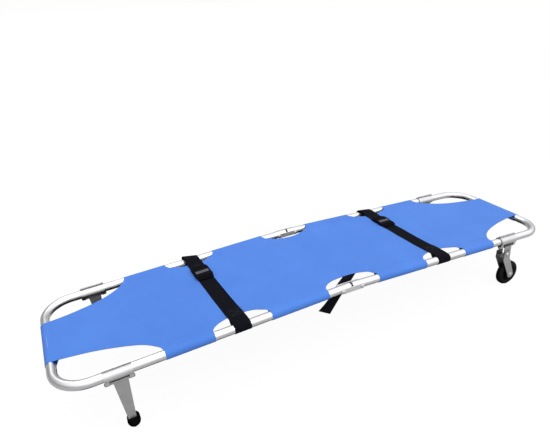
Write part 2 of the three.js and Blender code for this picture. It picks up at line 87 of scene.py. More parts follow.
# Canvas
CLOTH = 0.0009
WRAP_RADIUS = TUBE_RADIUS + 0.0009
WRAP_ANGLE = math.radians(240)
WRAP_RISE = 0.0229
WRAP_ALLOWANCE = 0.011
SAG = 0.0055
NOTCH_DROOP = 0.005
FOLD_HEIGHT = 0.001
FOLD_REACH = 0.075
FOLD_COUNT = 7
# Unevenness of the cloth: noise scales, shift between the halves, layer of the noise, height
RUMPLES = (((9, 13), 31, 0.7, 0.0012), ((22, 30), 17, 4.1, 0.0005))
MIDDLE_NOTCH = {"x": 0.0, "half": 0.098, "depth": 0.054}
STRAP_NOTCH = {"x": 0.393, "half": 0.092, "depth": 0.047}
FULL_WIDTH_END = 0.633
TONGUE_CURVE = ((FULL_WIDTH_END, RAIL_Y), (0.64, 0.165), (0.755, 0.115), (END_BAR_X, 0.101))
# Skew of the cloth on its frame, and the travel over which it fades out on each half
CLOTH_SKEW = 0.05
SKEW_END = {-1: (0.68, 0.88), 1: (0.42, 0.64)}
HEM = 0.012
# Where the hems begin or end, clear of the rails: angles round a notch, share of the tongue's edge
HEM_MIDDLE_END = 1.3
HEM_STRAP_START = 0.32
HEM_TONGUE_START = 0.12
HEM_STITCH = 0.009
SEAM_STITCHES = (0.031, 0.036)

# Webbing and buckles
STRAP_X = 0.391
STRAP_WIDTH = 0.054
WEBBING = 0.0015
WEBBING_EDGE = 0.55  # share of the thickness that is left at the edges
RIB_HEIGHT = 0.00012
STRAP_DOUBLED = 0.075
LOOP_ANGLE = math.radians(228)
# Shift and skew of each half's strap, and the slack and twist of its loop on the left rail
STRAP_SKEW = {-1: (-0.0016, -0.027), 1: (-0.004, -0.022)}
SLACK = {"stand": (0.006, math.radians(10.5)), "wheel": (0.004, math.radians(4.5))}
# Storage strap: its width, and its two edges as points with heights over the hinge
TAIL_WIDTH = 0.038
TAIL_LEFT = ((0.024, -0.158, 0.003), (0.0005, -0.1765, 0.0025), (-0.031, -0.197, -0.001),
             (-0.072, -0.203, -0.047), (-0.105, -0.2, -0.0793))
TAIL_RIGHT = ((0.057, -0.176, 0.0043), (0.046, -0.184, 0.004), (0.025, -0.1935, -0.008),
              (-0.0185, -0.203, -0.045), (-0.0633, -0.205, -0.1027))
BUCKLE_NEAR = 0.06
BUCKLE_SPLIT = 0.112
BUCKLE_FAR = 0.148
BUCKLE_HALF = 0.031
BUCKLE_HEIGHT = 0.0125
LIP_OUTLINE = ((0.0928, 0.0096), (0.093, 0.0108), (0.104, 0.0131), (0.1054, 0.0129), (0.1054, 0.0112))

# Wheels and feet
WHEEL_RADIUS = 0.05
TYRE_HALF = 0.012
TYRE_BORE = 0.0312
SPOKE_BOX = ((0.0118, -0.0016, -0.0086), (0.0262, 0.0016, 0.0086))
FOOT_RADIUS = 0.019
FOOT_FLAT = -1.12

# Camera: where it stands round its target, and how far off
CAMERA_AZIMUTH = math.radians(-25.13)
CAMERA_ELEVATION = math.radians(25.76)
CAMERA_ROLL = math.radians(-2.99)
CAMERA_DISTANCE = 2.0782
CAMERA_TARGET = Vector((-0.001, 0.3231, HINGE_Z))
CAMERA_LENS = 32.66
CAMERA_REACH = 300

# Studio light: tone of the surroundings against the cosine of the angle from SKY_AXIS
SKY_TONES = ((0.0, 0.26), (0.12, 0.4), (0.32, 0.5), (0.6, 0.98), (1.0, 1.0))
SKY_STRENGTH = 1.2
SKY_AXIS = Vector((0.22, -0.34, 0.91)).normalized()
FLOOR_GLOW = 0.95
DOME_RADIUS = 38.0
# Cards as two corners, height and tone; disk lights as place, diameter and watts
CARDS = {"floor_bounce": ((-40.0, -40.0), (40.0, 40.0), -0.001, 0.42),
         "shade_card": ((-0.9, -0.26), (0.9, 0.38), -0.0005, 0.01)}
LIGHT_TARGET = Vector((0, 0, 0.2))
LIGHTS = {"key": ((0.6, -1.9, 2.7), 1.6, 22), "fill": ((-0.8, 1.8, 2.8), 2.0, 14)}


# --- small helpers ---


def half_matrix(end):
    return Matrix.Translation((0, 0, HINGE_Z)) @ Matrix.Rotation(end * CAMBER, 4, "Y")


def placed(end, x, y, z):
    """A point of a half's own frame, in the row frame."""
    return half_matrix(end) @ Vector((end * x, y, z))


def smooth_step(value, low, high):
    t = min(max((value - low) / (high - low), 0.0), 1.0)
    return t * t * (3 - 2 * t)


def spread(low, high, count):
    return [low + (high - low) * i / count for i in range(count + 1)]


def linked(name, data):
    """New object in the scene."""
    obj = bpy.data.objects.new(name, data)
    bpy.context.scene.collection.objects.link(obj)
    return obj


def smoothed(mesh, sharp):
    """Smooth shading, with edges over the sharp angle in degrees kept."""
    mesh.shade_smooth()
    mesh.set_sharp_from_angle(angle=math.radians(sharp))


def mesh_object(name, points, faces, material, uvs=None, sharp=40):
    """New object from points and faces; normals are made to agree, and edges over sharp stay."""
    mesh = bpy.data.meshes.new(name)
    mesh.from_pydata([tuple(p) for p in points], [], faces)
    if uvs is not None:
        layer = mesh.uv_layers.new(name="UVMap")
        for loop in mesh.loops:
            layer.data[loop.index].uv = uvs[loop.vertex_index]
    work = bmesh.new()
    work.from_mesh(mesh)
    bmesh.ops.recalc_face_normals(work, faces=work.faces)
    work.to_mesh(mesh)
    work.free()
    mesh.materials.append(material)
    smoothed(mesh, sharp)
    return linked(name, mesh)


def grid_faces(rows, columns, wrap_columns=False):
    """Quads of a grid whose points are listed row by row."""
    faces = []
    for i in range(rows - 1):
        for j in range(columns if wrap_columns else columns - 1):
            k = (j + 1) % columns
            faces.append((i * columns + j, i * columns + k,
                          (i + 1) * columns + k, (i + 1) * columns + j))
    return faces


def end_caps(total, count):
    """First and last ring of a solid with this many points in all and in each ring."""
    return [tuple(range(count)), tuple(range(total - count, total))]


def shifted(faces, offset):
    return [tuple(i + offset for i in face) for face in faces]


def swept(name, stations, section, material, sharp=40):
    """Closed solid of a section carried along stations of (origin, across, up)."""
    points = []
    uvs = []
    travel = 0.0
    for i, (origin, across, up) in enumerate(stations):
        if i:
            travel += (origin - stations[i - 1][0]).length
        for a, b in section:
            points.append(origin + across * a + up * b)
            uvs.append((travel, a))
    count = len(section)
    faces = grid_faces(len(stations), count, wrap_columns=True) + end_caps(len(points), count)
    return mesh_object(name, points, faces, material, uvs, sharp)


def turned(name, profile, matrix, material, segments=64):
    """Turned solid about the matrix's z axis, from [radius, z] pairs that close on themselves
    or start and end on the axis."""
    points = []
    rings = []
    for radius, z in profile:
        if radius == 0:
            rings.append([len(points)] * segments)
            points.append(matrix @ Vector((0, 0, z)))
            continue
        ring = []
        for k in range(segments):
            angle = 2 * math.pi * k / segments
            ring.append(len(points))
            points.append(matrix @ Vector((radius * math.cos(angle), radius * math.sin(angle), z)))
        rings.append(ring)
    if profile[0][0] > 0:
        rings.append(rings[0])
    faces = []
    for low, high in zip(rings, rings[1:]):
        for k in range(segments):
            n = (k + 1) % segments
            corners = dict.fromkeys((low[k], low[n], high[n], high[k]))
            if len(corners) > 2:
                faces.append(tuple(corners))
    return mesh_object(name, points, faces, material, sharp=35)


def plastic_box(name, low, high, matrix):
    points = [matrix @ Vector((x, y, z)) for x in (low[0], high[0])
              for y in (low[1], high[1]) for z in (low[2], high[2])]
    faces = [(0, 1, 3, 2), (4, 6, 7, 5), (0, 4, 5, 1), (2, 3, 7, 6), (0, 2, 6, 4), (1, 5, 7, 3)]
    return mesh_object(name, points, faces, PLASTIC)


def applied(obj):
    """Puts the object's modifiers into its mesh."""
    shape = obj.evaluated_get(bpy.context.evaluated_depsgraph_get())
    mesh = bpy.data.meshes.new_from_object(shape)
    obj.modifiers.clear()
    obj.data = mesh


def carved(obj, cutters):
    """Cuts each cutter out of the object and deletes the cutters."""
    for cutter in cutters:
        cut = obj.modifiers.new("cut", "BOOLEAN")
        cut.operation = "DIFFERENCE"
        cut.solver = "EXACT"
        cut.object = cutter
    bpy.context.view_layer.update()
    applied(obj)
    for cutter in cutters:
        bpy.data.objects.remove(cutter)
    smoothed(obj.data, 35)
    return obj


def bevelled(obj, width, angle=35):
    bevel = obj.modifiers.new("bevel", "BEVEL")
    bevel.width = width
    bevel.segments = 2
    bevel.limit_method = "ANGLE"
    bevel.angle_limit = math.radians(angle)


def thickened(obj, thickness):
    """Gives an open sheet its thickness, with square edges."""
    solidify = obj.modifiers.new("thickness", "SOLIDIFY")
    solidify.thickness = thickness
    solidify.offset = 0
    bpy.context.view_layer.update()
    applied(obj)
    smoothed(obj.data, 60)


def joined(name, parts):
    """One object from several, with their meshes as separate shells."""
    work = bmesh.new()
    for part in parts:
        part.data.transform(part.matrix_world)
        work.from_mesh(part.data)
    mesh = bpy.data.meshes.new(name)
    work.to_mesh(mesh)
    work.free()
    mesh.materials.append(parts[0].data.materials[0])
    smoothed(mesh, 40)
    for part in parts:
        bpy.data.objects.remove(part)
    return linked(name, mesh)


# --- materials ---


class Paint:
    """A Principled material with short calls for the nodes that the finishes share."""

    RECESS_FALL = 1.6

    def __init__(self, name, colour, roughness, metallic=0.0, specular=0.5):
        self.material = bpy.data.materials.new(name)
        self.material.use_nodes = True
        self.tree = self.material.node_tree
        self.shader = self.tree.nodes["Principled BSDF"]
        self.shader.inputs["Base Color"].default_value = (*colour, 1)
        self.shader.inputs["Roughness"].default_value = roughness
        self.shader.inputs["Metallic"].default_value = metallic
        self.shader.inputs["Specular IOR Level"].default_value = specular

    def node(self, kind, inputs, **values):
        """New node; an input is either linked from another node's output or set to a value."""
        node = self.tree.nodes.new(kind)
        for key, value in values.items():
            setattr(node, key, value)
        for key, value in inputs.items():
            if isinstance(value, bpy.types.NodeSocket):
                self.link(value, node.inputs[key])
            else:
                node.inputs[key].default_value = value
        return node

    def link(self, source, target):
        self.tree.links.new(source, target)

    def coordinates(self, scale=(1, 1, 1)):
        place = self.node("ShaderNodeTexCoord", {}).outputs["Object"]
        return self.node("ShaderNodeMapping", {"Scale": scale, "Vector": place}).outputs["Vector"]

    def noise(self, vector, scale, detail):
        inputs = {"Scale": scale, "Detail": detail, "Roughness": 0.55, "Vector": vector}
        return self.node("ShaderNodeTexNoise", inputs).outputs["Fac"]

    def math(self, operation, a, b=0.0):
        return self.node("ShaderNodeMath", {0: a, 1: b}, operation=operation).outputs[0]

    def ranged(self, value, low, high, to_low, to_high):
        inputs = {"From Min": low, "From Max": high, "To Min": to_low, "To Max": to_high,
                  "Value": value}
        return self.node("ShaderNodeMapRange", inputs).outputs["Result"]

    def colour_between(self, factor, first, second):
        inputs = {"A": (*first, 1), "B": (*second, 1), "Factor": factor}
        mix = self.node("ShaderNodeMix", inputs, data_type="RGBA")
        self.link(mix.outputs["Result"], self.shader.inputs["Base Color"])

    def recessed(self, factor, reach):
        """The factor, brought to zero in recesses narrower than the reach: painted shade from ambient
        occlusion.
        """
        recess = self.node("ShaderNodeAmbientOcclusion", {"Distance": reach}, samples=8)
        return self.math("MULTIPLY", factor, self.math("POWER", recess.outputs["AO"], self.RECESS_FALL))

    def roughness_from(self, value, low, high):
        self.link(self.ranged(value, 0.3, 0.7, low, high), self.shader.inputs["Roughness"])

    def blended(self, first, second, share):
        """The first value with a share of the second in it."""
        kept = self.math("MULTIPLY", first, 1 - share)
        return self.math("ADD", kept, self.math("MULTIPLY", second, share))

    def bump(self, height, distance, strength, under=None):
        inputs = {"Distance": distance, "Strength": strength, "Height": height}
        if under is not None:
            inputs["Normal"] = under
        normal = self.node("ShaderNodeBump", inputs).outputs["Normal"]
        self.link(normal, self.shader.inputs["Normal"])
        return normal

    def weave(self, pitch_along, pitch_across):
        """Height of a plain weave, from a UV map in metres."""
        place = self.node("ShaderNodeTexCoord", {}).outputs["UV"]
        split = self.node("ShaderNodeSeparateXYZ", {"Vector": place})
        threads = []
        for axis, pitch in (("X", pitch_along), ("Y", pitch_across)):
            phase = self.math("MULTIPLY", split.outputs[axis], math.pi / pitch)
            threads.append(self.math("SINE", phase))
        crossing = self.math("MULTIPLY", threads[0], threads[1])
        ridges = [self.math("ABSOLUTE", thread) for thread in threads]
        over = self.math("GREATER_THAN", crossing, 0.0)
        under = self.math("SUBTRACT", 1.0, over)
        first = self.math("MULTIPLY", ridges[0], over)
        second = self.math("MULTIPLY", ridges[1], under)
        return self.math("ADD", first, second)


def canvas_paint():
    paint = Paint("canvas_blue", (0.069, 0.212, 0.68), 0.5, specular=0.2)
    place = paint.coordinates()
    cloudy = paint.noise(place, 7.0, 3.0)
    fine = paint.noise(place, 900.0, 2.0)
    mottled = paint.ranged(paint.blended(cloudy, fine, 0.3), 0.35, 0.65, 0, 1)
    paint.colour_between(mottled, (0.064, 0.2, 0.655), (0.074, 0.224, 0.705))
    paint.roughness_from(fine, 0.42, 0.6)
    creases = paint.bump(paint.noise(place, 26.0, 3.0), 0.0008, 0.5)
    paint.bump(paint.weave(0.0011, 0.0011), 0.00022, 0.6, creases)
    paint.shader.inputs["Sheen Weight"].default_value = 0.04
    return paint.material


def webbing_paint():
    paint = Paint("webbing_black", (0.004, 0.004, 0.008), 0.8, specular=0.06)
    place = paint.coordinates()
    fuzz = paint.noise(place, 600.0, 3.0)
    faded = paint.ranged(fuzz, 0.35, 0.7, 0, 1)
    paint.colour_between(faded, (0.003, 0.003, 0.006), (0.007, 0.007, 0.013))
    paint.bump(paint.weave(0.0014, 0.0022), 0.0004, 0.9)
    return paint.material


def thread_paint(name, colour):
    paint = Paint(name, colour, 0.55)
    place = paint.coordinates()
    twist = paint.noise(place, 2500.0, 1.0)
    paint.roughness_from(twist, 0.45, 0.7)
    paint.bump(twist, 0.0001, 0.6)
    return paint.material


def metal_paint(name, colour, low, high, grain=(20, 900, 900), scratch=0.00004, grime_and_shade=0.9,
                recess=None):
    """Metal with a fine directional grain and rougher patches where it has been handled, dulled by
    grime in those patches and, where recess gives a width, by painted shade in the recesses up to it."""
    paint = Paint(name, colour, (low + high) / 2, 1.0)
    lines = paint.noise(paint.coordinates(grain), 1.0, 3.0)
    patches = paint.noise(paint.coordinates(), 22.0, 4.0)
    paint.roughness_from(paint.blended(lines, patches, 0.5), low, high)
    darker = tuple(grime_and_shade * c for c in colour)
    # Where recess gives a width, ambient occlusion darkens the metal in its recesses: painted shade.
    if recess:
        clean_and_lit = paint.recessed(paint.ranged(patches, 0.3, 0.7, 0.92, 1), recess)
    else:
        clean_and_lit = paint.ranged(patches, 0.3, 0.7, 0.75, 1)
    paint.colour_between(clean_and_lit, darker, colour)
    paint.bump(lines, scratch, 0.5)
    return paint.material


def enamel_paint(name, grime_and_shade, colour, metallic):
    """Powder coat: a fine orange peel, slightly uneven gloss and tone, and painted shade in the
    recesses.
    """
    paint = Paint(name, colour, 0.4, metallic)
    place = paint.coordinates()
    peel = paint.noise(place, 750.0, 2.0)
    patches = paint.noise(place, 30.0, 4.0)
    coat = paint.ranged(patches, 0.3, 0.7, 0.88, 1)
    # Ambient occlusion blends the recesses toward the first colour: painted shade; the coat's random
    # tone leans slightly toward it too.
    paint.colour_between(paint.recessed(coat, 0.045), grime_and_shade, colour)
    paint.roughness_from(patches, 0.34, 0.5)
    paint.bump(peel, 0.00012, 0.6)
    return paint.material


def moulded_paint(name, colour, low, high, grain_scale, depth, specular):
    """Moulded plastic or rubber with a spark-eroded grain."""
    paint = Paint(name, colour, (low + high) / 2, specular=specular)
    place = paint.coordinates()
    grain = paint.noise(place, grain_scale, 3.0)
    dust = paint.noise(place, 45.0, 5.0)
    brighter = tuple(1.6 * c + 0.001 for c in colour)
    paint.colour_between(paint.ranged(dust, 0.4, 0.8, 0, 1), colour, brighter)
    paint.roughness_from(dust, low, high)
    paint.bump(grain, depth, 0.6)
    return paint.material


CANVAS = canvas_paint()
WEBBING_BLACK = webbing_paint()
BLUE_THREAD = thread_paint("thread_blue", (0.05, 0.16, 0.55))
BLACK_THREAD = thread_paint("thread_black", (0.03, 0.03, 0.034))
TUBE_METAL = metal_paint("tube_aluminium", (0.85, 0.85, 0.85), 0.24, 0.32)
# The bracket goes nearly black in recesses up to 2 cm wide: painted shade.
CAST_METAL = metal_paint("bracket_aluminium", (0.8, 0.8, 0.8), 0.28, 0.38, (60, 60, 60), 0.0001,
                         grime_and_shade=0.1, recess=0.02)
LINK_METAL = metal_paint("link_aluminium", (0.86, 0.86, 0.86), 0.42, 0.52, (60, 60, 60), 0.0001)
PLUG_METAL = metal_paint("plug_aluminium", (0.55, 0.55, 0.55), 0.3, 0.45)
STEEL = metal_paint("bright_steel", (0.84, 0.84, 0.85), 0.14, 0.26, (300, 300, 300))
# The first colour is near-black painted shade in the recesses of the legs and fork.
GREY = enamel_paint("grey_powder_coat", (0.012, 0.012, 0.012), (0.475, 0.47, 0.461), 0.6)
RUBBER = moulded_paint("rubber_black", (0.003, 0.003, 0.003), 0.6, 0.8, 700.0, 0.00012, 0.02)
TYRE = moulded_paint("tyre_black", (0.005, 0.005, 0.005), 0.45, 0.65, 500.0, 0.00012, 0.12)
PLASTIC = moulded_paint("plastic_black", (0.003, 0.003, 0.005), 0.45, 0.6, 1100.0, 0.00005, 0.035)
# Lighter grey for the buckle's lip: a painted highlight.
LIP_HIGHLIGHT_PLASTIC = moulded_paint("plastic_painted_highlight", (0.06, 0.06, 0.074), 0.3, 0.45, 1100.0, 0.00005, 0.3)


# --- frame tubes ---


def tube_stations(end):
    """Origin, across and up along a half frame's centre line, from the right rail to the left."""
    straight = [TUBE_START] + spread(0.1, END_BAR_X - CORNER_RADIUS, 12)[:-1]
    path = [((x, -RAIL_Y), 0.0) for x in straight]
    for row, start in ((-1, -math.pi / 2), (1, 0.0)):
        for angle in spread(start, start + math.pi / 2, 24):
            x = END_BAR_X - CORNER_RADIUS + CORNER_RADIUS * math.cos(angle)
            y = row * (RAIL_Y - CORNER_RADIUS) + CORNER_RADIUS * math.sin(angle)
            path.append(((x, y), angle + math.pi / 2))
    path += [((x, RAIL_Y), math.pi) for x in reversed(straight)]
    turn = half_matrix(end).to_3x3()
    up = turn @ Vector((0, 0, 1))
    stations = []
    for (x, y), heading in path:
        across = turn @ Vector((end * math.sin(heading), -math.cos(heading), 0))
        stations.append((placed(end, x, y, 0), across, up))
    return stations


def frame_tube(name, end, sides=48):
    stations = tube_stations(end)
    points = []
    for radius in (TUBE_RADIUS, TUBE_BORE):
        for origin, across, up in stations:
            for k in range(sides):
                angle = 2 * math.pi * k / sides
                points.append(origin + radius * (math.cos(angle) * across + math.sin(angle) * up))
    skin = grid_faces(len(stations), sides, wrap_columns=True)
    inner = len(stations) * sides
    faces = skin + shifted(skin, inner)
    for row in (0, inner - sides):
        for k in range(sides):
            n = (k + 1) % sides
            faces.append((row + k, row + n, inner + row + n, inner + row + k))
    tube = mesh_object(f"{name}_tube", points, faces, TUBE_METAL)
    across = Matrix.Rotation(math.pi / 2, 4, "X")
    reach = RAIL_Y + 0.03
    profile = [(0, -reach), (PIN_HOLE_RADIUS, -reach), (PIN_HOLE_RADIUS, reach), (0, reach)]
    place = Matrix.Translation(placed(end, PIN_X, 0, 0)) @ across
    drill = turned("pin_drill", profile, place, TUBE_METAL, segments=24)
    carved(tube, [drill])
    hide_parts(f"{name}_frame_tube")
    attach(tube, f"{name}_frame")


# --- canvas ---


def notch_limit(notch, x):
    """How far the cloth reaches from the centre line beside a notch."""
    off = (x - notch["x"]) / notch["half"]
    return RAIL_Y - notch["depth"] * math.sqrt(max(0.0, 1 - off * off))


def notch_point(notch, x):
    return x, notch_limit(notch, x)


def tongue_point(t):
    """Edge of the tongue as (x, reach), a Bezier curve from the rail to the end bar."""
    weights = ((1 - t) ** 3, 3 * t * (1 - t) ** 2, 3 * t * t * (1 - t), t ** 3)
    return tuple(sum(w * point[k] for w, point in zip(weights, TONGUE_CURVE)) for k in (0, 1))


def wrap(distance):
    """Offset outward and height of cloth laid round a tube, at a distance past the tube's top."""
    arc = WRAP_RADIUS * WRAP_ANGLE
    if distance <= arc:
        angle = distance / WRAP_RADIUS
        return WRAP_RADIUS * math.sin(angle), WRAP_RADIUS * math.cos(angle)
    rise = min(distance - arc, WRAP_RISE)
    out = WRAP_RADIUS * math.sin(WRAP_ANGLE) + rise * math.cos(WRAP_ANGLE)
    up = WRAP_RADIUS * math.cos(WRAP_ANGLE) - rise * math.sin(WRAP_ANGLE)
    flat = max(distance - arc - WRAP_RISE, 0.0)
    return out - flat, up


WRAP_LENGTH = WRAP_RADIUS * WRAP_ANGLE + WRAP_RISE + WRAP_ALLOWANCE
CORNERS = [MIDDLE_NOTCH["half"], STRAP_NOTCH["x"] - STRAP_NOTCH["half"],
           STRAP_NOTCH["x"] + STRAP_NOTCH["half"], FULL_WIDTH_END]


def pull_folds(x, y):
    """Shallow folds that fan out from the ends of the sleeves, where the cloth is pulled."""
    height = 0.0
    for corner in CORNERS:
        away = math.hypot(x - corner, RAIL_Y - abs(y))
        angle = math.atan2(RAIL_Y - abs(y), x - corner)
        fade = math.exp(-((away / FOLD_REACH) ** 2)) * smooth_step(away, 0.0, 0.03)
        height += FOLD_HEIGHT * fade * math.cos(FOLD_COUNT * angle)
    return height


def deck_height(end, x, y):
    """Height of the cloth between the rails."""
    across = 1 - min(abs(y) / RAIL_Y, 1.0) ** 2
    sag = SAG * across * (1 - 0.75 * smooth_step(x, 0.7, END_BAR_X))
    half = MIDDLE_NOTCH["half"]
    ridge = 0.0
    if x < half:
        bridging = half * math.tan(CAMBER) / 2
        ridge = bridging * (1 - x / half) ** 2 + NOTCH_DROOP * math.cos(math.pi * x / half / 2) ** 2
    calm = smooth_step(x, 0.0, 0.08) * (1 - smooth_step(x, 0.86, END_BAR_X))
    rough = 0.0
    for (along, crosswise), shift, layer, height in RUMPLES:
        spot = Vector((along * x + shift * end, crosswise * y, layer))
        rough += noise.noise(spot) * height
    return WRAP_RADIUS - sag - ridge + calm * (rough * min(1.0, 3 * across) + pull_folds(x, y))


def skewed(end, travel, reach):
    """The travel where the cloth really lies: it is sewn a little askew, up to near the tongue."""
    share = 1 - smooth_step(travel, *SKEW_END[end])
    return travel - end * CLOTH_SKEW * share * max(-RAIL_Y, min(reach, RAIL_Y))


def cloth_point(end, travel, reach, lift=0.0):
    """Point of the cloth, from its distance along the bed and its reach from the centre line."""
    travel = skewed(end, travel, reach)
    if travel > END_BAR_X:
        out, up = wrap(travel - END_BAR_X)
        return placed(end, END_BAR_X + out, reach, up + lift)
    if abs(reach) > RAIL_Y:
        out, up = wrap(abs(reach) - RAIL_Y)
        return placed(end, travel, math.copysign(RAIL_Y + out, reach), up + lift)
    return placed(end, travel, reach, deck_height(end, travel, reach) + lift)


def cloth_rows():
    """Rows of the cloth as (travel, reach, has a sleeve), closer together round the notches."""
    rows = []
    for angle in spread(0, math.pi / 2, 16)[:-1]:
        rows.append((*notch_point(MIDDLE_NOTCH, MIDDLE_NOTCH["half"] * math.sin(angle)), False))
    first, second = CORNERS[1], CORNERS[2]
    rows += [(x, RAIL_Y, True) for x in spread(CORNERS[0], first, 18)]
    for angle in spread(0, math.pi, 32)[1:-1]:
        x = STRAP_NOTCH["x"] - STRAP_NOTCH["half"] * math.cos(angle)
        rows.append((*notch_point(STRAP_NOTCH, x), False))
    rows += [(x, RAIL_Y, True) for x in spread(second, FULL_WIDTH_END, 14)]
    rows += [(*tongue_point(t), False) for t in spread(0, 1, 36)[1:]]
    last = TONGUE_CURVE[-1][1]
    rows += [(END_BAR_X + d, last, False) for d in spread(0, WRAP_LENGTH, 30)[1:]]
    return rows


def cross_hinge(piece, end):
    """Puts the cloth piece's placement into its mesh, the same way for either half."""
    if end < 0:
        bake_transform(piece)
    else:
        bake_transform(piece)


def canvas_sheet(name, end, columns=56, wrap_columns=26):
    rows = cloth_rows()
    points = []
    uvs = []

    def add(travel, reach):
        points.append(cloth_point(end, travel, reach))
        uvs.append((travel, reach))
        return len(points) - 1

    core = [[add(x, limit * t) for t in spread(-1, 1, columns)] for x, limit, _ in rows]
    faces = []
    for low, high in zip(core, core[1:]):
        for j in range(columns):
            faces.append((low[j], high[j], high[j + 1], low[j + 1]))
    for row in ROWS.values():
        edge = 0 if row < 0 else columns
        sleeve = []
        for i, (x, _, has_sleeve) in enumerate(rows):
            if not has_sleeve:
                sleeve.append(None)
                continue
            past = [add(x, row * (RAIL_Y + d)) for d in spread(0, WRAP_LENGTH, wrap_columns)[1:]]
            sleeve.append([core[i][edge]] + past)
        for low, high in zip(sleeve, sleeve[1:]):
            if low and high:
                for j in range(wrap_columns):
                    faces.append((low[j], low[j + 1], high[j + 1], high[j]))
    sheet = mesh_object(f"{name}_canvas_sheet", points, faces, CANVAS, uvs, sharp=70)
    flat_area = sum(face.area for face in sheet.data.polygons)
    thickened(sheet, CLOTH)
    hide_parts(f"{name}_canvas")
    cross_hinge(sheet, end)
    return sheet, flat_area


def edge_runs():
    """Free edges of the cloth as lists of (travel, reach) on the left side."""
    middle = [notch_point(MIDDLE_NOTCH, MIDDLE_NOTCH["half"] * math.sin(a))
              for a in spread(0, HEM_MIDDLE_END, 24)]
    strap = [notch_point(STRAP_NOTCH, STRAP_NOTCH["x"] - STRAP_NOTCH["half"] * math.cos(a))
             for a in spread(HEM_STRAP_START, math.pi - HEM_STRAP_START, 44)]
    tongue = [tongue_point(t) for t in spread(HEM_TONGUE_START, 1, 48)]
    return middle, strap, tongue


def inset(run, distance):
    """The run moved into the cloth by a distance."""
    moved = []
    for i, (x, y) in enumerate(run):
        x0, y0 = run[max(i - 1, 0)]
        x1, y1 = run[min(i + 1, len(run) - 1)]
        length = math.hypot(x1 - x0, y1 - y0)
        moved.append((x + distance * (y1 - y0) / length, y - distance * (x1 - x0) / length))
    return moved


def hems(name, end):
    """Turned-under edge of the cloth along each notch and along the tongue."""
    parts = []
    for run in edge_runs():
        for row in ROWS.values():
            lines = [inset(run, d) for d in spread(0.0004, HEM, 4)]
            points = [cloth_point(end, max(x, 0.0), row * y, -CLOTH * 1.1)
                      for line in lines for x, y in line]
            faces = grid_faces(len(lines), len(run))
            parts.append(mesh_object("hem", points, faces, CANVAS))
    hem = joined(f"{name}_canvas_hem", parts)
    thickened(hem, CLOTH)
    cross_hinge(hem, end)
    return hem


def stitch_line(end, line, row, pitch=0.0042, length=0.003, radius=0.00036):
    """Points and faces of the stitches along a line of (travel, reach)."""
    points = []
    faces = []
    travelled = 0.0
    due = pitch / 2
    rings = ((-0.5, 0.25), (-0.32, 0.85), (0.0, 1.0), (0.32, 0.85), (0.5, 0.25))
    sides = 6
    for (x0, y0), (x1, y1) in zip(line, line[1:]):
        step = math.hypot(x1 - x0, y1 - y0)
        while due <= travelled + step and step > 0:
            share = (due - travelled) / step
            x = x0 + (x1 - x0) * share
            y = y0 + (y1 - y0) * share
            centre = cloth_point(end, x, row * y, CLOTH / 2)
            turn = half_matrix(end).to_3x3()
            along = turn @ Vector((end * (x1 - x0), row * (y1 - y0), 0)).normalized()
            up = turn @ Vector((0, 0, 1))
            side = along.cross(up)
            base = len(points)
            for offset, share_of_radius in rings:
                for k in range(sides):
                    angle = 2 * math.pi * k / sides
                    out = side * math.cos(angle) + up * math.sin(angle) * 0.8
                    points.append(centre + along * offset * length + out * radius * share_of_radius)
            stitch = grid_faces(len(rings), sides, wrap_columns=True)
            faces += shifted(stitch + end_caps(len(rings) * sides, sides), base)
            due += pitch
        travelled += step
    return points, faces


def canvas_stitching(name, end):
    """Stitches of the hems, of the sleeves' seams and of the end bar's seam."""
    lines = [(inset(run, HEM_STITCH), row) for run in edge_runs() for row in ROWS.values()]
    for low, high in ((CORNERS[0], CORNERS[1]), (CORNERS[2], CORNERS[3])):
        for offset in SEAM_STITCHES:
            seam = [(x, RAIL_Y - offset) for x in spread(low + 0.003, high - 0.003, 60)]
            lines += [(seam, row) for row in ROWS.values()]
    reach = TONGUE_CURVE[-1][1] - 0.004
    for offset in SEAM_STITCHES:
        lines.append(([(END_BAR_X - offset, y) for y in spread(-reach, reach, 60)], 1))
    points = []
    faces = []
    for line, row in lines:
        new_points, new_faces = stitch_line(end, line, row)
        faces += shifted(new_faces, len(points))
        points += new_points
    stitching = mesh_object(f"{name}_canvas_stitching", points, faces, BLUE_THREAD)
    cross_hinge(stitching, end)
    return stitching


# --- webbing ---


def webbing_section(width, ribs=9, per_rib=4):
    """Closed outline across the webbing, with a shallow rib for each warp bundle."""
    top = []
    last = ribs * per_rib
    for i in range(last + 1):
        rib = RIB_HEIGHT * (0.5 - 0.5 * math.cos(2 * math.pi * i / per_rib))
        edge = WEBBING_EDGE if i in (0, last) else 1.0
        top.append((-width / 2 + width * i / last, edge * WEBBING / 2 - RIB_HEIGHT + rib))
    bottom = [(a, -b) for a, b in reversed(top)]
    return top + bottom


def resampled(points, spacing):
    """Evenly spaced points on a Catmull-Rom curve through the given ones."""
    fine = []
    count = len(points)
    for i in range(count - 1):
        p0 = points[max(i - 1, 0)]
        p1 = points[i]
        p2 = points[i + 1]
        p3 = points[min(i + 2, count - 1)]
        for t in spread(0, 1, 12)[:-1]:
            fine.append(0.5 * ((2 * p1) + (p2 - p0) * t + (2 * p0 - 5 * p1 + 4 * p2 - p3) * t * t
                               + (3 * p1 - p0 - 3 * p2 + p3) * t ** 3))
    fine.append(points[-1])
    kept = [fine[0]]
    for point in fine[1:]:
        if (point - kept[-1]).length >= spacing:
            kept.append(point)
    if (fine[-1] - kept[-1]).length > spacing / 3:
        kept.append(fine[-1])
    return kept


def strap_x(end, y):
    """Where a strap's centre line lies in its half's frame: the straps lie slightly askew."""
    shift, skew = STRAP_SKEW[end]
    return STRAP_X + end * (shift + skew * y)


def strap_height(end, y):
    """Underside of a strap over the canvas, from deck to rail."""
    edge = notch_limit(STRAP_NOTCH, STRAP_X)
    if abs(y) <= edge:
        return deck_height(end, STRAP_X, y) + CLOTH / 2
    share = (abs(y) - edge) / (RAIL_Y - edge)
    start = deck_height(end, STRAP_X, edge) + CLOTH / 2
    return start + (TUBE_RADIUS + 0.0003 - start) * share


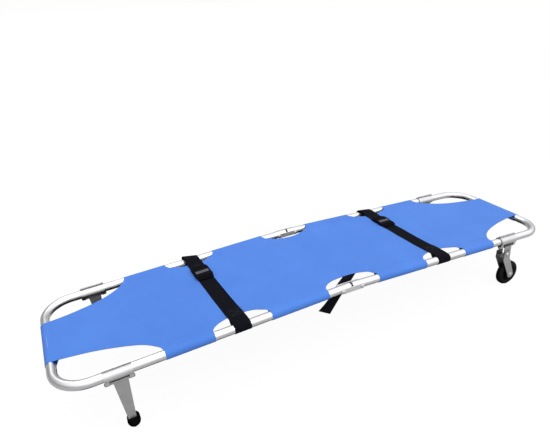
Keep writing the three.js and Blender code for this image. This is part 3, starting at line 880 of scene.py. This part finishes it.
def strap_path(name, end, row, start):
    """Over the canvas to the rail, round it and back under itself to the sewn patch."""
    doubled = RAIL_Y - STRAP_DOUBLED
    slack, twist = SLACK[name] if row > 0 else (0.0, 0.0)
    turn = half_matrix(end).to_3x3()

    def station(y, z, angle, share):
        outward = turn @ Vector((0, row * math.sin(angle), math.cos(angle)))
        across = turn @ Vector((1, 0, 0))
        tilt = twist * share
        origin = placed(end, strap_x(end, row * y), row * y, z)
        return origin, across * math.cos(tilt) - outward * math.sin(tilt)

    path = []
    for y in spread(row * start, RAIL_Y, 46):
        share = smooth_step(y, RAIL_Y - 0.066, RAIL_Y - 0.012)
        lift = WEBBING * 0.55 + WEBBING * 1.15 * smooth_step(y, doubled - 0.014, doubled)
        lift *= 1 - 0.6 * smooth_step(y, RAIL_Y - 0.022, RAIL_Y)
        path.append(station(y, strap_height(end, row * y) + lift + slack * share, 0.0, share))
    outer = strap_height(end, row * RAIL_Y) + WEBBING * 0.22 + slack
    inner = TUBE_RADIUS + WEBBING * 0.75
    for angle in spread(0, LOOP_ANGLE, 30)[1:]:
        share = 1 - smooth_step(angle, math.radians(60), math.radians(200))
        radius = inner + (outer - inner) * share
        path.append(station(RAIL_Y + radius * math.sin(angle), radius * math.cos(angle), angle, share))
    for y in spread(RAIL_Y - 0.03, doubled, 16):
        path.append(station(y, strap_height(end, row * y) + WEBBING * 0.55, math.pi, 0.0))
    return path


def patient_strap(name, side, end, row, start):
    path = strap_path(name, end, row, start)
    stations = []
    for i, (origin, across) in enumerate(path):
        before = path[max(i - 1, 0)][0]
        after = path[min(i + 1, len(path) - 1)][0]
        along = (after - before).normalized()
        across = (across - along * across.dot(along)).normalized()
        stations.append((origin, across, across.cross(along)))
    section = webbing_section(STRAP_WIDTH)
    strap = swept(f"{name}_strap_webbing_{side}", stations, section, WEBBING_BLACK, sharp=60)
    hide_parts(f"{name}_strap_{side}")
    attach(strap, f"{name}_frame")


def strap_stitching(name, side, end, row):
    """Box and cross that hold the end of the strap's loop."""
    near = RAIL_Y - 0.04
    far = RAIL_Y - 0.071
    half = STRAP_WIDTH / 2 - 0.006
    centre = strap_x(end, row * (near + far) / 2)
    left, right = centre - half, centre + half
    corners = [(left, near), (right, near), (right, far), (left, far)]
    runs = list(zip(corners, corners[1:] + corners[:1]))
    runs += [(corners[0], corners[2]), (corners[1], corners[3])]
    points = []
    faces = []
    for (x0, y0), (x1, y1) in runs:
        line = [(x0 + (x1 - x0) * t, y0 + (y1 - y0) * t) for t in spread(0, 1, 12)]
        new_points, new_faces = stitch_line(end, line, row, pitch=0.0034, length=0.0027)
        lifted = []
        for point in new_points:
            y = point.y
            rise = strap_height(end, y) - deck_height(end, STRAP_X, y) - CLOTH / 2
            lifted.append(point + Vector((0, 0, rise + WEBBING * 2.22)))
        faces += shifted(new_faces, len(points))
        points += lifted
    stitching = mesh_object(f"{name}_strap_stitching_{side}", points, faces, BLACK_THREAD)
    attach(stitching, f"{name}_frame")


def storage_strap():
    """Tail of webbing sewn under the canvas edge, which hangs inside the right rail."""
    left = resampled([Vector((x, y, HINGE_Z + z)) for x, y, z in TAIL_LEFT], 0.003)
    right = resampled([Vector((x, y, HINGE_Z + z)) for x, y, z in TAIL_RIGHT], 0.003)
    count = 50
    edges = []
    for i in range(count + 1):
        edges.append([edge[round(i * (len(edge) - 1) / count)] for edge in (left, right)])
    stations = []
    for i, (first, second) in enumerate(edges):
        before = sum(edges[max(i - 1, 0)], Vector()) / 2
        after = sum(edges[min(i + 1, count)], Vector()) / 2
        up = (second - first).cross(after - before).normalized()
        stations.append(((first + second) / 2, (second - first) / TAIL_WIDTH, up))
    section = webbing_section(TAIL_WIDTH)
    tail = swept("storage_strap_webbing", stations, section, WEBBING_BLACK, sharp=60)
    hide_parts("storage_strap")
    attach(tail, "stand_frame")
    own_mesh(tail)


# --- buckles ---


def rounded_section(half_width, low, high, radius):
    """Rounded rectangle as (across, up) pairs."""
    outline = []
    for cx, cz, start in ((half_width - radius, high - radius, 0.0),
                          (-half_width + radius, high - radius, 90.0),
                          (-half_width + radius, low + radius, 180.0),
                          (half_width - radius, low + radius, 270.0)):
        for angle in spread(start, start + 90, 5):
            a = math.radians(angle)
            outline.append((cx + radius * math.cos(a), cz + radius * math.sin(a)))
    return outline


def plastic_loft(name, sections, matrix):
    """Solid through rounded sections, each (y, half width, low, high, radius)."""
    points = []
    count = 0
    for y, half_width, low, high, radius in sections:
        outline = rounded_section(half_width, low, high, radius)
        count = len(outline)
        points += [matrix @ Vector((x, y, z)) for x, z in outline]
    faces = grid_faces(len(sections), count, wrap_columns=True) + end_caps(len(points), count)
    return mesh_object(name, points, faces, PLASTIC)


def extruded(name, outline, half_width, matrix, material):
    """Bar with an outline in (y, z), as wide as twice half_width."""
    points = [matrix @ Vector((x, y, z)) for x in (-half_width, half_width) for y, z in outline]
    count = len(outline)
    faces = end_caps(2 * count, count)
    faces += [(i, (i + 1) % count, count + (i + 1) % count, count + i) for i in range(count)]
    return mesh_object(name, points, faces, material)


def buckle_socket(matrix, half, height):
    """Low near part with a window in each side, and a raised collar at its mouth."""
    near, split = BUCKLE_NEAR, BUCKLE_SPLIT
    socket = plastic_loft("socket", [
        (near, half - 0.005, 0.003, 0.006, 0.0015),
        (near + 0.0015, half - 0.003, 0.0018, 0.0074, 0.0024),
        (near + 0.012, half - 0.0015, 0.0004, 0.009, 0.003),
        (near + 0.03, half - 0.001, 0, 0.0094, 0.0034),
        (near + 0.036, half - 0.0002, 0, 0.0098, 0.0036),
        (near + 0.043, half, 0, height, 0.0042),
        (split - 0.002, half - 0.0006, 0, height * 0.98, 0.004),
        (split, half - 0.0014, 0.0006, height * 0.93, 0.0036),
    ], matrix)
    cuts = [
        plastic_box("cavity", (-half + 0.004, near + 0.018, 0.0028),
                    (half - 0.004, split + 0.004, 0.0072), matrix),
        plastic_box("side_window", (-half - 0.003, near + 0.018, 0.0028),
                    (half + 0.003, near + 0.033, 0.007), matrix),
    ]
    for y in (near + 0.004, near + 0.011):
        cuts.append(plastic_box("slot", (-half + 0.005, y, -0.002),
                                (half - 0.005, y + 0.0036, height + 0.002), matrix))
    return carved(socket, cuts)


def buckle_tongue(matrix, half, height):
    """Base bar with a ladder for the strap, a middle prong and two sprung side prongs."""
    near, split, far = BUCKLE_NEAR, BUCKLE_SPLIT, BUCKLE_FAR
    body = plastic_loft("tongue_base", [
        (split + 0.0004, half - 0.0016, 0.0006, height * 0.92, 0.0036),
        (split + 0.003, half - 0.0004, 0, height, 0.0042),
        (split + 0.01, half, 0, height * 0.98, 0.0042),
        (far - 0.012, half - 0.0006, 0, height * 0.8, 0.0034),
        (far - 0.002, half - 0.002, 0.0012, height * 0.58, 0.0024),
        (far, half - 0.0035, 0.0022, height * 0.48, 0.0016),
    ], matrix)
    bars = [plastic_box("ladder", (-half + 0.0055, y, -0.002),
                        (half - 0.0055, y + 0.0045, height + 0.002), matrix)
            for y in (split + 0.0125, split + 0.0235)]
    carved(body, bars)
    low, high = 0.0036, 0.0064
    prongs = [plastic_loft("middle_prong", [
        (near + 0.022, 0.003, low + 0.0006, high - 0.0006, 0.0006),
        (near + 0.026, 0.0042, low, high, 0.001),
        (split + 0.002, 0.0046, low, high, 0.001),
    ], matrix)]
    for hand in (-1, 1):
        arm = matrix @ Matrix.Translation((hand * (half - 0.0074), 0, 0))
        catch = matrix @ Matrix.Translation((hand * (half - 0.0022), 0, 0))
        prongs.append(plastic_loft("spring_arm", [
            (near + 0.02, 0.0012, low + 0.0006, high - 0.0006, 0.0006),
            (near + 0.023, 0.003, low, high, 0.001),
            (split + 0.002, 0.0026, low, high, 0.001),
        ], arm))
        prongs.append(plastic_loft("catch", [
            (near + 0.019, 0.0014, low, high, 0.0006),
            (near + 0.0215, 0.0036, low - 0.0004, high + 0.0003, 0.0012),
            (near + 0.0295, 0.004, low - 0.0004, high + 0.0003, 0.0012),
            (near + 0.0318, 0.0026, low, high, 0.0008),
        ], catch))
    return [body] + prongs


def buckle(name, end):
    """Side-release buckle lying on the canvas: a socket to the right and a tongue to the left."""
    middle = (BUCKLE_NEAR + BUCKLE_FAR) / 2
    base = deck_height(end, STRAP_X, middle) + CLOTH / 2 + 0.0004
    centre = Vector((end * strap_x(end, middle), middle, base))
    turn = Matrix.Rotation(-STRAP_SKEW[end][1], 4, "Z")
    matrix = half_matrix(end) @ Matrix.Translation(centre) @ turn
    matrix = matrix @ Matrix.Translation((0, -middle, 0))
    socket = buckle_socket(matrix, BUCKLE_HALF, BUCKLE_HEIGHT)
    socket.name = f"{name}_buckle_socket_shell"
    # The lip is lighter than the rest of the buckle: a painted highlight.
    lip = extruded(f"{name}_buckle_lip", LIP_OUTLINE, 0.0235, matrix, LIP_HIGHLIGHT_PLASTIC)
    tongue = joined(f"{name}_buckle_tongue_shell", buckle_tongue(matrix, BUCKLE_HALF, BUCKLE_HEIGHT))
    for piece, node in ((socket, "socket"), (tongue, "tongue"), (lip, None)):
        bevelled(piece, 0.0004)
        if node:
            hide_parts(f"{name}_buckle_{node}")
        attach(piece, f"{name}_frame")


# --- wheels and feet ---


def tyre_profile():
    """Solid tyre with two shallow grooves in a crowned tread."""
    tread = WHEEL_RADIUS
    outer = [(TYRE_BORE, -TYRE_HALF + 0.0022), (TYRE_BORE + 0.004, -TYRE_HALF + 0.0012),
             (tread - 0.011, -TYRE_HALF), (tread - 0.0055, -TYRE_HALF + 0.0014),
             (tread - 0.0022, -TYRE_HALF + 0.0038), (tread - 0.0007, -TYRE_HALF + 0.0064)]
    groove = 0.0035
    middle = [(tread - 0.0003, -groove - 0.0012), (tread - 0.0014, -groove - 0.0006),
              (tread - 0.0014, -groove + 0.0006), (tread - 0.0001, -groove + 0.0012)]
    half = outer + middle
    return half + [(tread, 0.0)] + [(r, -z) for r, z in reversed(half)]


def hub_profile():
    """Moulded hub: a rim, a dished web and a boss round the bush."""
    rim = TYRE_BORE - 0.0004
    half = [(0.007, -0.014), (0.0102, -0.014), (0.011, -0.0132), (0.0124, -0.0058),
            (0.0142, -0.0044), (0.0232, -0.0044), (0.0252, -0.006), (0.0264, -0.01),
            (0.0274, -0.0106), (rim - 0.0006, -0.0106), (rim, -0.01)]
    return half + [(r, -z) for r, z in reversed(half)]


def wheel(side):
    centre = Vector(JOINTS[f"wheel_spin_{side}"]["pos_m"])
    matrix = Matrix.Translation(centre) @ Matrix.Rotation(math.pi / 2, 4, "X")
    tyre = turned(f"tyre_tread_{side}", tyre_profile(), matrix, TYRE, segments=96)
    hub = turned(f"wheel_hub_moulding_{side}", hub_profile(), matrix, PLASTIC)
    spokes = []
    for angle in range(0, 360, 60):
        turn = matrix @ Matrix.Rotation(math.radians(angle), 4, "Z")
        spokes.append(plastic_box("spoke", *SPOKE_BOX, turn))
    moulding = joined(f"wheel_hub_spokes_{side}", spokes)
    bevelled(moulding, 0.0005)
    for piece, node, slot in ((tyre, "tyre", "tyre_rubber"), (hub, "wheel_hub", "wheel_plastic"),
                              (moulding, None, "wheel_plastic")):
        if node:
            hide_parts(f"{node}_{side}")
        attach(piece, f"wheel_{side}")


def rubber_foot(side):
    """Ball-shaped boot on the stand's end, flat where it meets the floor."""
    low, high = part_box(f"rubber_foot_{side}")
    centre = Vector(((low[0] + high[0]) / 2, (low[1] + high[1]) / 2, FOOT_RADIUS))
    profile = [(0, -FOOT_RADIUS), (FOOT_RADIUS * math.cos(FOOT_FLAT), -FOOT_RADIUS)]
    for angle in spread(FOOT_FLAT, 0.0, 12)[1:]:
        profile.append((FOOT_RADIUS * math.cos(angle), FOOT_RADIUS * math.sin(angle)))
    profile += [(0.0189, 0.005), (0.0184, 0.0058), (0.0188, 0.0066), (0.0185, 0.0112),
                (0.0179, 0.012), (0.0182, 0.0128), (0.0179, 0.0172), (0.017, 0.0184), (0, 0.0184)]
    foot = turned(f"rubber_foot_boot_{side}", profile, Matrix.Translation(centre), RUBBER)
    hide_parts(f"rubber_foot_{side}")
    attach(foot, f"stand_leg_{side}")


# --- CAD pieces that keep their own mesh ---


def dress(node, material, bevel):
    """A CAD piece gets its finish, smooth rounds and broken edges; its mesh stays as packed."""
    obj = NODES[node]
    obj.data.materials.clear()
    obj.data.materials.append(material)
    smoothed(obj.data, 28)
    bevelled(obj, bevel, angle=40)


def dress_all():
    """Finish and bevel by the words in a node's name; the longest that fits is the one used."""
    finishes = {"hinge_plug": (PLUG_METAL, 0.0003), "leg_bracket": (CAST_METAL, 0.0008),
                "leg_rod": (STEEL, 0.0003), "hinge_pin": (STEEL, 0.0003),
                "hinge_link": (LINK_METAL, 0.0006), "stand_leg": (GREY, 0.0007),
                "wheel_leg": (GREY, 0.0006), "wheel_fork": (GREY, 0.0007),
                "fork_bolt": (STEEL, 0.0004), "axle": (STEEL, 0.0004), "wheel_bush": (STEEL, 0.0002)}
    for node in NODES:
        fitting = [part for part in finishes if part in node]
        if fitting:
            dress(node, *finishes[max(fitting, key=len)])


# --- build ---

for name, end in ENDS.items():
    frame_tube(name, end)
    sheet, area = canvas_sheet(name, end)
    hem = hems(name, end)
    stitching = canvas_stitching(name, end)
    buckle(name, end)
    patient_strap(name, "right", end, -1, BUCKLE_NEAR + 0.0105)
    patient_strap(name, "left", end, 1, BUCKLE_FAR - 0.017)
    for side, row in ROWS.items():
        strap_stitching(name, side, end, row)

storage_strap()
for side in ROWS:
    wheel(side)
    rubber_foot(side)
dress_all()


# --- stage ---


def backdrop():
    """White floor and dome that only the camera sees."""
    paint = Paint("backdrop", (0.06, 0.06, 0.06), 0.9, specular=0.0)
    paint.shader.inputs["Emission Color"].default_value = (1, 1, 1, 1)
    paint.shader.inputs["Emission Strength"].default_value = FLOOR_GLOW
    profile = [(0.0, 0.0)]
    for angle in spread(0, math.pi / 2, 8):
        profile.append((DOME_RADIUS * math.cos(angle), DOME_RADIUS * math.sin(angle)))
    dome = turned("backdrop", profile, Matrix.Identity(4), paint.material)
    dome.visible_diffuse = False
    dome.visible_glossy = False
    dome.visible_shadow = False


def bounce_card(name, low, high, z, tone):
    """Flat card that the camera doesn't see, but that the object reflects."""
    paint = Paint(name, (tone, tone, tone), 0.9, specular=0.0)
    points = [(low[0], low[1], z), (high[0], low[1], z), (high[0], high[1], z), (low[0], high[1], z)]
    card = mesh_object(name, points, [(0, 1, 2, 3)], paint.material)
    card.visible_camera = False


def sky():
    """Soft white overhead and grey from low down, so that the bright tubes show their shape."""
    world = bpy.data.worlds.new("studio")
    bpy.context.scene.world = world
    world.use_nodes = True
    tree = world.node_tree
    place = tree.nodes.new("ShaderNodeTexCoord")
    lean = tree.nodes.new("ShaderNodeVectorMath")
    lean.operation = "DOT_PRODUCT"
    lean.inputs[1].default_value = SKY_AXIS
    height = tree.nodes.new("ShaderNodeMapRange")
    ramp = tree.nodes.new("ShaderNodeValToRGB")
    height.inputs["From Min"].default_value = -1.0
    background = tree.nodes["Background"]
    tree.links.new(place.outputs["Generated"], lean.inputs[0])
    tree.links.new(lean.outputs["Value"], height.inputs["Value"])
    tree.links.new(height.outputs["Result"], ramp.inputs["Fac"])
    tree.links.new(ramp.outputs["Color"], background.inputs["Color"])
    background.inputs["Strength"].default_value = SKY_STRENGTH
    stops = ramp.color_ramp.elements
    while len(stops) < len(SKY_TONES):
        stops.new(0.5)
    for stop, (cosine, tone) in zip(stops, SKY_TONES):
        stop.position = (cosine + 1) / 2
        stop.color = (tone, tone, 1.02 * tone, 1)


def area_light(name, location, size, energy):
    data = bpy.data.lights.new(name, "AREA")
    data.shape = "DISK"
    data.size = size
    data.energy = energy
    light = linked(name, data)
    light.location = location
    aim = LIGHT_TARGET - Vector(location)
    light.rotation_euler = aim.to_track_quat("-Z", "Y").to_euler()


def camera():
    """Looks at CAMERA_TARGET; its own axes are right, up and back."""
    azimuth, elevation, roll = CAMERA_AZIMUTH, CAMERA_ELEVATION, CAMERA_ROLL
    back = Vector((math.sin(azimuth) * math.cos(elevation),
                   -math.cos(azimuth) * math.cos(elevation), math.sin(elevation)))
    level = Vector((math.cos(azimuth), math.sin(azimuth), 0))
    upright = back.cross(level)
    right = math.cos(roll) * level + math.sin(roll) * upright
    up = -math.sin(roll) * level + math.cos(roll) * upright
    location = CAMERA_TARGET + back * CAMERA_DISTANCE
    data = bpy.data.cameras.new("camera")
    data.lens = CAMERA_LENS
    data.clip_end = CAMERA_REACH
    obj = linked("camera", data)
    turn = Matrix((right, up, back)).transposed().to_4x4()
    obj.matrix_world = Matrix.Translation(location) @ turn
    bpy.context.scene.camera = obj


backdrop()
for name, card in CARDS.items():
    bounce_card(name, *card)
sky()
for name, light in LIGHTS.items():
    area_light(name, *light)
camera()
bpy.context.scene.view_settings.view_transform = "Standard"
